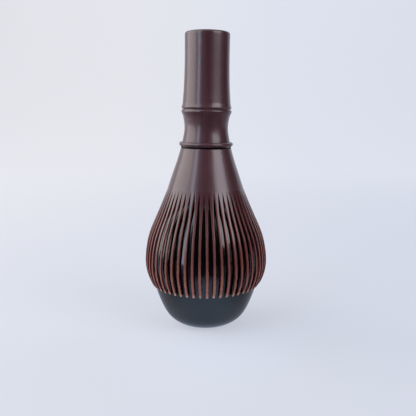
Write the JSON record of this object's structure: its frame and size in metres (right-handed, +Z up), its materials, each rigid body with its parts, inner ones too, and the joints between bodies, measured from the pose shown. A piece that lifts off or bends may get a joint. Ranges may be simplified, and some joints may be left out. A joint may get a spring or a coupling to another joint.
{
  "type": "tea whisk on stand",
  "caption": "Dark-stained bamboo tea whisk with a hollow node handle, collar ring and a cage of curved free tines, standing handle up on a black glazed bulb stand.",
  "frame": {"origin": "centre of the stand's foot, on the surface it stands on", "axes": "+Z up along the stand's axis towards the handle's rim; -Y is the front; the handle leans slightly to +X"},
  "size_m": [0.0632, 0.0632, 0.1509],
  "materials": {
    "black_glaze": "gloss",
    "stained_bamboo": "satin",
    "tine_bamboo": "satin",
    "inner_bamboo": "satin",
    "black_thread": "matte"
  },
  "bodies": {
    "stand": {"stand_body": "black_glaze"},
    "whisk": {"shoulder": "stained_bamboo", "handle_culm": "stained_bamboo", "collar_ring": "stained_bamboo", "binding_thread": "black_thread", "inner_tines": "inner_bamboo"},
    "tine_01": {"tine_01": "tine_bamboo"},
    "tine_02": {"tine_02": "tine_bamboo"},
    "tine_03": {"tine_03": "tine_bamboo"},
    "tine_04": {"tine_04": "tine_bamboo"},
    "tine_05": {"tine_05": "tine_bamboo"},
    "tine_06": {"tine_06": "tine_bamboo"},
    "tine_07": {"tine_07": "tine_bamboo"},
    "tine_08": {"tine_08": "tine_bamboo"},
    "tine_09": {"tine_09": "tine_bamboo"},
    "tine_10": {"tine_10": "tine_bamboo"},
    "tine_11": {"tine_11": "tine_bamboo"},
    "tine_12": {"tine_12": "tine_bamboo"},
    "tine_13": {"tine_13": "tine_bamboo"},
    "tine_14": {"tine_14": "tine_bamboo"},
    "tine_15": {"tine_15": "tine_bamboo"},
    "tine_16": {"tine_16": "tine_bamboo"},
    "tine_17": {"tine_17": "tine_bamboo"},
    "tine_18": {"tine_18": "tine_bamboo"},
    "tine_19": {"tine_19": "tine_bamboo"},
    "tine_20": {"tine_20": "tine_bamboo"},
    "tine_21": {"tine_21": "tine_bamboo"},
    "tine_22": {"tine_22": "tine_bamboo"},
    "tine_23": {"tine_23": "tine_bamboo"},
    "tine_24": {"tine_24": "tine_bamboo"},
    "tine_25": {"tine_25": "tine_bamboo"},
    "tine_26": {"tine_26": "tine_bamboo"},
    "tine_27": {"tine_27": "tine_bamboo"},
    "tine_28": {"tine_28": "tine_bamboo"},
    "tine_29": {"tine_29": "tine_bamboo"},
    "tine_30": {"tine_30": "tine_bamboo"},
    "tine_31": {"tine_31": "tine_bamboo"},
    "tine_32": {"tine_32": "tine_bamboo"},
    "tine_33": {"tine_33": "tine_bamboo"},
    "tine_34": {"tine_34": "tine_bamboo"},
    "tine_35": {"tine_35": "tine_bamboo"},
    "tine_36": {"tine_36": "tine_bamboo"},
    "tine_37": {"tine_37": "tine_bamboo"},
    "tine_38": {"tine_38": "tine_bamboo"},
    "tine_39": {"tine_39": "tine_bamboo"},
    "tine_40": {"tine_40": "tine_bamboo"},
    "tine_41": {"tine_41": "tine_bamboo"},
    "tine_42": {"tine_42": "tine_bamboo"},
    "tine_43": {"tine_43": "tine_bamboo"},
    "tine_44": {"tine_44": "tine_bamboo"},
    "tine_45": {"tine_45": "tine_bamboo"},
    "tine_46": {"tine_46": "tine_bamboo"},
    "tine_47": {"tine_47": "tine_bamboo"},
    "tine_48": {"tine_48": "tine_bamboo"},
    "tine_49": {"tine_49": "tine_bamboo"},
    "tine_50": {"tine_50": "tine_bamboo"},
    "tine_51": {"tine_51": "tine_bamboo"},
    "tine_52": {"tine_52": "tine_bamboo"},
    "tine_53": {"tine_53": "tine_bamboo"},
    "tine_54": {"tine_54": "tine_bamboo"}
  },
  "joints": [
    {"name": "whisk_lift", "type": "slide", "parent": "stand", "child": "whisk", "axis": [0, 0, 1], "range_m": [0, 0.06], "deforming": ["tine_01", "tine_02", "tine_03", "tine_04", "tine_05", "tine_06", "tine_07", "tine_08", "tine_09", "tine_10", "tine_11", "tine_12", "tine_13", "tine_14", "tine_15", "tine_16", "tine_17", "tine_18", "tine_19", "tine_20", "tine_21", "tine_22", "tine_23", "tine_24", "tine_25", "tine_26", "tine_27", "tine_28", "tine_29", "tine_30", "tine_31", "tine_32", "tine_33", "tine_34", "tine_35", "tine_36", "tine_37", "tine_38", "tine_39", "tine_40", "tine_41", "tine_42", "tine_43", "tine_44", "tine_45", "tine_46", "tine_47", "tine_48", "tine_49", "tine_50", "tine_51", "tine_52", "tine_53", "tine_54"]},
    {"name": "tine_01_flex", "type": "hinge", "parent": "whisk", "child": "tine_01", "pos_m": [0.00057, -0.01909, 0.0729], "axis": [-0.9996, -0.0297, 0], "range_deg": [0, 6], "stiffness_Nm_per_rad": 0.08},
    {"name": "tine_02_flex", "type": "hinge", "parent": "whisk", "child": "tine_02", "pos_m": [0.00278, -0.0189, 0.0729], "axis": [-0.9894, -0.1455, 0], "range_deg": [0, 6], "stiffness_Nm_per_rad": 0.08},
    {"name": "tine_03_flex", "type": "hinge", "parent": "whisk", "child": "tine_03", "pos_m": [0.00495, -0.01845, 0.0729], "axis": [-0.9658, -0.2594, 0], "range_deg": [0, 6], "stiffness_Nm_per_rad": 0.08},
    {"name": "tine_04_flex", "type": "hinge", "parent": "whisk", "child": "tine_04", "pos_m": [0.00706, -0.01775, 0.0729], "axis": [-0.9291, -0.3697, 0], "range_deg": [0, 6], "stiffness_Nm_per_rad": 0.08},
    {"name": "tine_05_flex", "type": "hinge", "parent": "whisk", "child": "tine_05", "pos_m": [0.00907, -0.01681, 0.0729], "axis": [-0.8799, -0.4751, 0], "range_deg": [0, 6], "stiffness_Nm_per_rad": 0.08},
    {"name": "tine_06_flex", "type": "hinge", "parent": "whisk", "child": "tine_06", "pos_m": [0.01096, -0.01564, 0.0729], "axis": [-0.8188, -0.5741, 0], "range_deg": [0, 6], "stiffness_Nm_per_rad": 0.08},
    {"name": "tine_07_flex", "type": "hinge", "parent": "whisk", "child": "tine_07", "pos_m": [0.01271, -0.01426, 0.0729], "axis": [-0.7466, -0.6652, 0], "range_deg": [0, 6], "stiffness_Nm_per_rad": 0.08},
    {"name": "tine_08_flex", "type": "hinge", "parent": "whisk", "child": "tine_08", "pos_m": [0.01428, -0.01269, 0.0729], "axis": [-0.6644, -0.7474, 0], "range_deg": [0, 6], "stiffness_Nm_per_rad": 0.08},
    {"name": "tine_09_flex", "type": "hinge", "parent": "whisk", "child": "tine_09", "pos_m": [0.01565, -0.01095, 0.0729], "axis": [-0.5731, -0.8195, 0], "range_deg": [0, 6], "stiffness_Nm_per_rad": 0.08},
    {"name": "tine_10_flex", "type": "hinge", "parent": "whisk", "child": "tine_10", "pos_m": [0.01682, -0.00906, 0.0729], "axis": [-0.4741, -0.8805, 0], "range_deg": [0, 6], "stiffness_Nm_per_rad": 0.08},
    {"name": "tine_11_flex", "type": "hinge", "parent": "whisk", "child": "tine_11", "pos_m": [0.01775, -0.00704, 0.0729], "axis": [-0.3687, -0.9296, 0], "range_deg": [0, 6], "stiffness_Nm_per_rad": 0.08},
    {"name": "tine_12_flex", "type": "hinge", "parent": "whisk", "child": "tine_12", "pos_m": [0.01845, -0.00493, 0.0729], "axis": [-0.2583, -0.9661, 0], "range_deg": [0, 6], "stiffness_Nm_per_rad": 0.08},
    {"name": "tine_13_flex", "type": "hinge", "parent": "whisk", "child": "tine_13", "pos_m": [0.0189, -0.00276, 0.0729], "axis": [-0.1444, -0.9895, 0], "range_deg": [0, 6], "stiffness_Nm_per_rad": 0.08},
    {"name": "tine_14_flex", "type": "hinge", "parent": "whisk", "child": "tine_14", "pos_m": [0.01909, -0.00054, 0.0729], "axis": [-0.0285, -0.9996, 0], "range_deg": [0, 6], "stiffness_Nm_per_rad": 0.08},
    {"name": "tine_15_flex", "type": "hinge", "parent": "whisk", "child": "tine_15", "pos_m": [0.01903, 0.00168, 0.0729], "axis": [0.0877, -0.9961, 0], "range_deg": [0, 6], "stiffness_Nm_per_rad": 0.08},
    {"name": "tine_16_flex", "type": "hinge", "parent": "whisk", "child": "tine_16", "pos_m": [0.0187, 0.00387, 0.0729], "axis": [0.2028, -0.9792, 0], "range_deg": [0, 6], "stiffness_Nm_per_rad": 0.08},
    {"name": "tine_17_flex", "type": "hinge", "parent": "whisk", "child": "tine_17", "pos_m": [0.01813, 0.00602, 0.0729], "axis": [0.3151, -0.9491, 0], "range_deg": [0, 6], "stiffness_Nm_per_rad": 0.08},
    {"name": "tine_18_flex", "type": "hinge", "parent": "whisk", "child": "tine_18", "pos_m": [0.01731, 0.00808, 0.0729], "axis": [0.4231, -0.9061, 0], "range_deg": [0, 6], "stiffness_Nm_per_rad": 0.08},
    {"name": "tine_19_flex", "type": "hinge", "parent": "whisk", "child": "tine_19", "pos_m": [0.01625, 0.01004, 0.0729], "axis": [0.5255, -0.8508, 0], "range_deg": [0, 6], "stiffness_Nm_per_rad": 0.08},
    {"name": "tine_20_flex", "type": "hinge", "parent": "whisk", "child": "tine_20", "pos_m": [0.01498, 0.01186, 0.0729], "axis": [0.6207, -0.7841, 0], "range_deg": [0, 6], "stiffness_Nm_per_rad": 0.08},
    {"name": "tine_21_flex", "type": "hinge", "parent": "whisk", "child": "tine_21", "pos_m": [0.0135, 0.01351, 0.0729], "axis": [0.7075, -0.7067, 0], "range_deg": [0, 6], "stiffness_Nm_per_rad": 0.08},
    {"name": "tine_22_flex", "type": "hinge", "parent": "whisk", "child": "tine_22", "pos_m": [0.01184, 0.01499, 0.0729], "axis": [0.7848, -0.6198, 0], "range_deg": [0, 6], "stiffness_Nm_per_rad": 0.08},
    {"name": "tine_23_flex", "type": "hinge", "parent": "whisk", "child": "tine_23", "pos_m": [0.01002, 0.01626, 0.0729], "axis": [0.8514, -0.5245, 0], "range_deg": [0, 6], "stiffness_Nm_per_rad": 0.08},
    {"name": "tine_24_flex", "type": "hinge", "parent": "whisk", "child": "tine_24", "pos_m": [0.00806, 0.01732, 0.0729], "axis": [0.9066, -0.4221, 0], "range_deg": [0, 6], "stiffness_Nm_per_rad": 0.08},
    {"name": "tine_25_flex", "type": "hinge", "parent": "whisk", "child": "tine_25", "pos_m": [0.006, 0.01813, 0.0729], "axis": [0.9494, -0.314, 0], "range_deg": [0, 6], "stiffness_Nm_per_rad": 0.08},
    {"name": "tine_26_flex", "type": "hinge", "parent": "whisk", "child": "tine_26", "pos_m": [0.00385, 0.01871, 0.0729], "axis": [0.9795, -0.2016, 0], "range_deg": [0, 6], "stiffness_Nm_per_rad": 0.08},
    {"name": "tine_27_flex", "type": "hinge", "parent": "whisk", "child": "tine_27", "pos_m": [0.00165, 0.01903, 0.0729], "axis": [0.9962, -0.0866, 0], "range_deg": [0, 6], "stiffness_Nm_per_rad": 0.08},
    {"name": "tine_28_flex", "type": "hinge", "parent": "whisk", "child": "tine_28", "pos_m": [-0.00057, 0.01909, 0.0729], "axis": [0.9996, 0.0297, 0], "range_deg": [0, 6], "stiffness_Nm_per_rad": 0.08},
    {"name": "tine_29_flex", "type": "hinge", "parent": "whisk", "child": "tine_29", "pos_m": [-0.00278, 0.0189, 0.0729], "axis": [0.9894, 0.1455, 0], "range_deg": [0, 6], "stiffness_Nm_per_rad": 0.08},
    {"name": "tine_30_flex", "type": "hinge", "parent": "whisk", "child": "tine_30", "pos_m": [-0.00495, 0.01845, 0.0729], "axis": [0.9658, 0.2594, 0], "range_deg": [0, 6], "stiffness_Nm_per_rad": 0.08},
    {"name": "tine_31_flex", "type": "hinge", "parent": "whisk", "child": "tine_31", "pos_m": [-0.00706, 0.01775, 0.0729], "axis": [0.9291, 0.3697, 0], "range_deg": [0, 6], "stiffness_Nm_per_rad": 0.08},
    {"name": "tine_32_flex", "type": "hinge", "parent": "whisk", "child": "tine_32", "pos_m": [-0.00907, 0.01681, 0.0729], "axis": [0.8799, 0.4751, 0], "range_deg": [0, 6], "stiffness_Nm_per_rad": 0.08},
    {"name": "tine_33_flex", "type": "hinge", "parent": "whisk", "child": "tine_33", "pos_m": [-0.01096, 0.01564, 0.0729], "axis": [0.8188, 0.5741, 0], "range_deg": [0, 6], "stiffness_Nm_per_rad": 0.08},
    {"name": "tine_34_flex", "type": "hinge", "parent": "whisk", "child": "tine_34", "pos_m": [-0.01271, 0.01426, 0.0729], "axis": [0.7466, 0.6652, 0], "range_deg": [0, 6], "stiffness_Nm_per_rad": 0.08},
    {"name": "tine_35_flex", "type": "hinge", "parent": "whisk", "child": "tine_35", "pos_m": [-0.01428, 0.01269, 0.0729], "axis": [0.6644, 0.7474, 0], "range_deg": [0, 6], "stiffness_Nm_per_rad": 0.08},
    {"name": "tine_36_flex", "type": "hinge", "parent": "whisk", "child": "tine_36", "pos_m": [-0.01565, 0.01095, 0.0729], "axis": [0.5731, 0.8195, 0], "range_deg": [0, 6], "stiffness_Nm_per_rad": 0.08},
    {"name": "tine_37_flex", "type": "hinge", "parent": "whisk", "child": "tine_37", "pos_m": [-0.01682, 0.00906, 0.0729], "axis": [0.4741, 0.8805, 0], "range_deg": [0, 6], "stiffness_Nm_per_rad": 0.08},
    {"name": "tine_38_flex", "type": "hinge", "parent": "whisk", "child": "tine_38", "pos_m": [-0.01775, 0.00704, 0.0729], "axis": [0.3687, 0.9296, 0], "range_deg": [0, 6], "stiffness_Nm_per_rad": 0.08},
    {"name": "tine_39_flex", "type": "hinge", "parent": "whisk", "child": "tine_39", "pos_m": [-0.01845, 0.00493, 0.0729], "axis": [0.2583, 0.9661, 0], "range_deg": [0, 6], "stiffness_Nm_per_rad": 0.08},
    {"name": "tine_40_flex", "type": "hinge", "parent": "whisk", "child": "tine_40", "pos_m": [-0.0189, 0.00276, 0.0729], "axis": [0.1444, 0.9895, 0], "range_deg": [0, 6], "stiffness_Nm_per_rad": 0.08},
    {"name": "tine_41_flex", "type": "hinge", "parent": "whisk", "child": "tine_41", "pos_m": [-0.01909, 0.00054, 0.0729], "axis": [0.0285, 0.9996, 0], "range_deg": [0, 6], "stiffness_Nm_per_rad": 0.08},
    {"name": "tine_42_flex", "type": "hinge", "parent": "whisk", "child": "tine_42", "pos_m": [-0.01903, -0.00168, 0.0729], "axis": [-0.0877, 0.9961, 0], "range_deg": [0, 6], "stiffness_Nm_per_rad": 0.08},
    {"name": "tine_43_flex", "type": "hinge", "parent": "whisk", "child": "tine_43", "pos_m": [-0.0187, -0.00387, 0.0729], "axis": [-0.2028, 0.9792, 0], "range_deg": [0, 6], "stiffness_Nm_per_rad": 0.08},
    {"name": "tine_44_flex", "type": "hinge", "parent": "whisk", "child": "tine_44", "pos_m": [-0.01813, -0.00602, 0.0729], "axis": [-0.3151, 0.9491, 0], "range_deg": [0, 6], "stiffness_Nm_per_rad": 0.08},
    {"name": "tine_45_flex", "type": "hinge", "parent": "whisk", "child": "tine_45", "pos_m": [-0.01731, -0.00808, 0.0729], "axis": [-0.4231, 0.9061, 0], "range_deg": [0, 6], "stiffness_Nm_per_rad": 0.08},
    {"name": "tine_46_flex", "type": "hinge", "parent": "whisk", "child": "tine_46", "pos_m": [-0.01625, -0.01004, 0.0729], "axis": [-0.5255, 0.8508, 0], "range_deg": [0, 6], "stiffness_Nm_per_rad": 0.08},
    {"name": "tine_47_flex", "type": "hinge", "parent": "whisk", "child": "tine_47", "pos_m": [-0.01498, -0.01186, 0.0729], "axis": [-0.6207, 0.7841, 0], "range_deg": [0, 6], "stiffness_Nm_per_rad": 0.08},
    {"name": "tine_48_flex", "type": "hinge", "parent": "whisk", "child": "tine_48", "pos_m": [-0.0135, -0.01351, 0.0729], "axis": [-0.7075, 0.7067, 0], "range_deg": [0, 6], "stiffness_Nm_per_rad": 0.08},
    {"name": "tine_49_flex", "type": "hinge", "parent": "whisk", "child": "tine_49", "pos_m": [-0.01184, -0.01499, 0.0729], "axis": [-0.7848, 0.6198, 0], "range_deg": [0, 6], "stiffness_Nm_per_rad": 0.08},
    {"name": "tine_50_flex", "type": "hinge", "parent": "whisk", "child": "tine_50", "pos_m": [-0.01002, -0.01626, 0.0729], "axis": [-0.8514, 0.5245, 0], "range_deg": [0, 6], "stiffness_Nm_per_rad": 0.08},
    {"name": "tine_51_flex", "type": "hinge", "parent": "whisk", "child": "tine_51", "pos_m": [-0.00806, -0.01732, 0.0729], "axis": [-0.9066, 0.4221, 0], "range_deg": [0, 6], "stiffness_Nm_per_rad": 0.08},
    {"name": "tine_52_flex", "type": "hinge", "parent": "whisk", "child": "tine_52", "pos_m": [-0.006, -0.01813, 0.0729], "axis": [-0.9494, 0.314, 0], "range_deg": [0, 6], "stiffness_Nm_per_rad": 0.08},
    {"name": "tine_53_flex", "type": "hinge", "parent": "whisk", "child": "tine_53", "pos_m": [-0.00385, -0.01871, 0.0729], "axis": [-0.9795, 0.2016, 0], "range_deg": [0, 6], "stiffness_Nm_per_rad": 0.08},
    {"name": "tine_54_flex", "type": "hinge", "parent": "whisk", "child": "tine_54", "pos_m": [-0.00165, -0.01903, 0.0729], "axis": [-0.9962, 0.0866, 0], "range_deg": [0, 6], "stiffness_Nm_per_rad": 0.08}
  ],
  "couplings": [
    {"joint": "tine_02_flex", "follows": "tine_01_flex", "ratio": 1},
    {"joint": "tine_03_flex", "follows": "tine_01_flex", "ratio": 1},
    {"joint": "tine_04_flex", "follows": "tine_01_flex", "ratio": 1},
    {"joint": "tine_05_flex", "follows": "tine_01_flex", "ratio": 1},
    {"joint": "tine_06_flex", "follows": "tine_01_flex", "ratio": 1},
    {"joint": "tine_07_flex", "follows": "tine_01_flex", "ratio": 1},
    {"joint": "tine_08_flex", "follows": "tine_01_flex", "ratio": 1},
    {"joint": "tine_09_flex", "follows": "tine_01_flex", "ratio": 1},
    {"joint": "tine_10_flex", "follows": "tine_01_flex", "ratio": 1},
    {"joint": "tine_11_flex", "follows": "tine_01_flex", "ratio": 1},
    {"joint": "tine_12_flex", "follows": "tine_01_flex", "ratio": 1},
    {"joint": "tine_13_flex", "follows": "tine_01_flex", "ratio": 1},
    {"joint": "tine_14_flex", "follows": "tine_01_flex", "ratio": 1},
    {"joint": "tine_15_flex", "follows": "tine_01_flex", "ratio": 1},
    {"joint": "tine_16_flex", "follows": "tine_01_flex", "ratio": 1},
    {"joint": "tine_17_flex", "follows": "tine_01_flex", "ratio": 1},
    {"joint": "tine_18_flex", "follows": "tine_01_flex", "ratio": 1},
    {"joint": "tine_19_flex", "follows": "tine_01_flex", "ratio": 1},
    {"joint": "tine_20_flex", "follows": "tine_01_flex", "ratio": 1},
    {"joint": "tine_21_flex", "follows": "tine_01_flex", "ratio": 1},
    {"joint": "tine_22_flex", "follows": "tine_01_flex", "ratio": 1},
    {"joint": "tine_23_flex", "follows": "tine_01_flex", "ratio": 1},
    {"joint": "tine_24_flex", "follows": "tine_01_flex", "ratio": 1},
    {"joint": "tine_25_flex", "follows": "tine_01_flex", "ratio": 1},
    {"joint": "tine_26_flex", "follows": "tine_01_flex", "ratio": 1},
    {"joint": "tine_27_flex", "follows": "tine_01_flex", "ratio": 1},
    {"joint": "tine_28_flex", "follows": "tine_01_flex", "ratio": 1},
    {"joint": "tine_29_flex", "follows": "tine_01_flex", "ratio": 1},
    {"joint": "tine_30_flex", "follows": "tine_01_flex", "ratio": 1},
    {"joint": "tine_31_flex", "follows": "tine_01_flex", "ratio": 1},
    {"joint": "tine_32_flex", "follows": "tine_01_flex", "ratio": 1},
    {"joint": "tine_33_flex", "follows": "tine_01_flex", "ratio": 1},
    {"joint": "tine_34_flex", "follows": "tine_01_flex", "ratio": 1},
    {"joint": "tine_35_flex", "follows": "tine_01_flex", "ratio": 1},
    {"joint": "tine_36_flex", "follows": "tine_01_flex", "ratio": 1},
    {"joint": "tine_37_flex", "follows": "tine_01_flex", "ratio": 1},
    {"joint": "tine_38_flex", "follows": "tine_01_flex", "ratio": 1},
    {"joint": "tine_39_flex", "follows": "tine_01_flex", "ratio": 1},
    {"joint": "tine_40_flex", "follows": "tine_01_flex", "ratio": 1},
    {"joint": "tine_41_flex", "follows": "tine_01_flex", "ratio": 1},
    {"joint": "tine_42_flex", "follows": "tine_01_flex", "ratio": 1},
    {"joint": "tine_43_flex", "follows": "tine_01_flex", "ratio": 1},
    {"joint": "tine_44_flex", "follows": "tine_01_flex", "ratio": 1},
    {"joint": "tine_45_flex", "follows": "tine_01_flex", "ratio": 1},
    {"joint": "tine_46_flex", "follows": "tine_01_flex", "ratio": 1},
    {"joint": "tine_47_flex", "follows": "tine_01_flex", "ratio": 1},
    {"joint": "tine_48_flex", "follows": "tine_01_flex", "ratio": 1},
    {"joint": "tine_49_flex", "follows": "tine_01_flex", "ratio": 1},
    {"joint": "tine_50_flex", "follows": "tine_01_flex", "ratio": 1},
    {"joint": "tine_51_flex", "follows": "tine_01_flex", "ratio": 1},
    {"joint": "tine_52_flex", "follows": "tine_01_flex", "ratio": 1},
    {"joint": "tine_53_flex", "follows": "tine_01_flex", "ratio": 1},
    {"joint": "tine_54_flex", "follows": "tine_01_flex", "ratio": 1}
  ]
}
